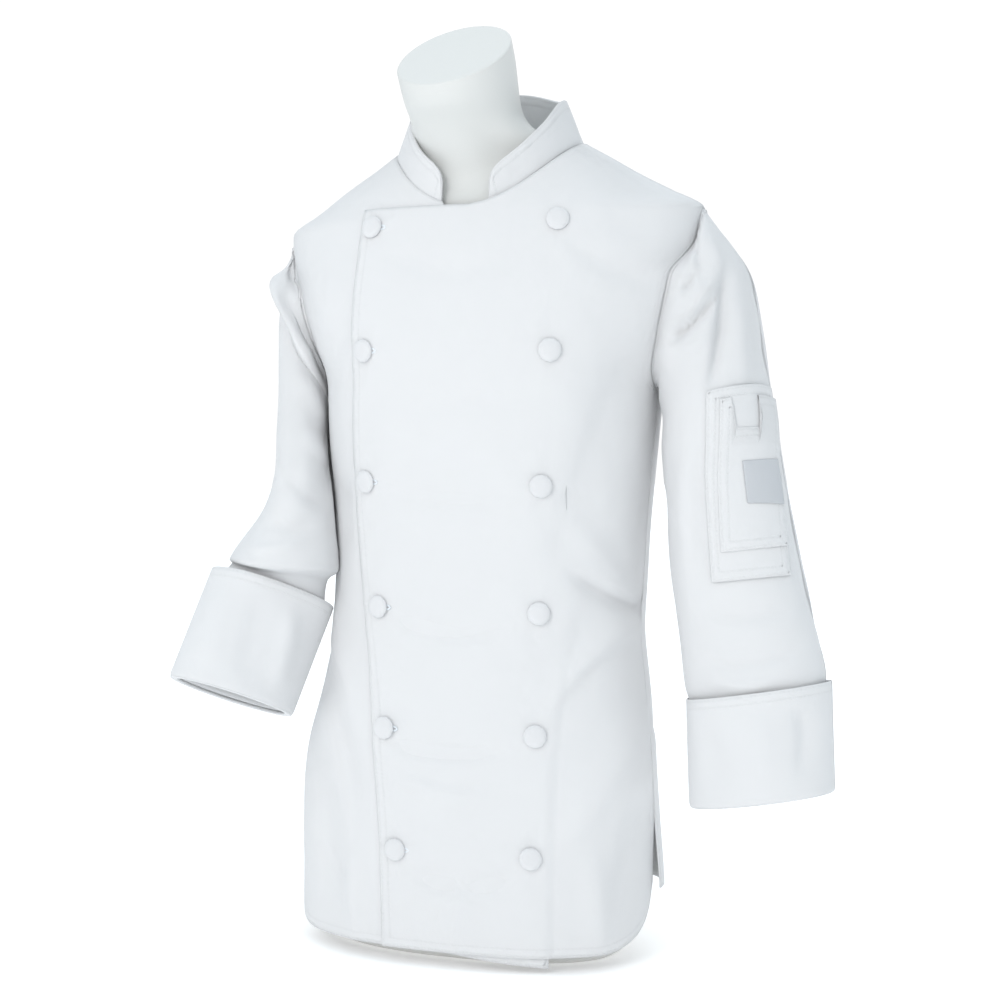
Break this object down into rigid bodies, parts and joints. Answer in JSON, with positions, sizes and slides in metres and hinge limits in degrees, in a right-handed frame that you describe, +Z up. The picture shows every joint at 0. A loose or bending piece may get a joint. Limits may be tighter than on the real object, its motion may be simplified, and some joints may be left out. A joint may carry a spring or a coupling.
{
  "type": "chef jacket on a dress form",
  "caption": "White double-breasted women's chef jacket with cloth-covered buttons, stand collar and turned-back cuffs, worn by a limbless dress form.",
  "frame": {"origin": "middle of the dress form's flat base, on the surface that it stands on", "axes": "+Z up, -Y to the front of the jacket, +X to the wearer's left"},
  "size_m": [0.5681, 0.2549, 0.811],
  "materials": {
    "jacket_cloth": "matte twill",
    "button_cloth": "cloth-covered",
    "label_cloth": "woven satin",
    "form_shell": "satin"
  },
  "bodies": {
    "root": {"dress_form": "form_shell", "front_left": "jacket_cloth", "front_right": "jacket_cloth", "back": "jacket_cloth", "collar": "jacket_cloth", "sleeve_left": "jacket_cloth", "sleeve_right": "jacket_cloth", "cuff_left": "jacket_cloth", "cuff_right": "jacket_cloth", "sleeve_pocket": "jacket_cloth", "pen_pocket": "jacket_cloth", "blank_label": "label_cloth", "button_1": "button_cloth", "button_2": "button_cloth", "button_3": "button_cloth", "button_4": "button_cloth", "button_5": "button_cloth", "button_6": "button_cloth", "button_7": "button_cloth", "button_8": "button_cloth", "button_9": "button_cloth", "button_10": "button_cloth", "button_11": "button_cloth", "button_12": "button_cloth"}
  },
  "joints": []
}
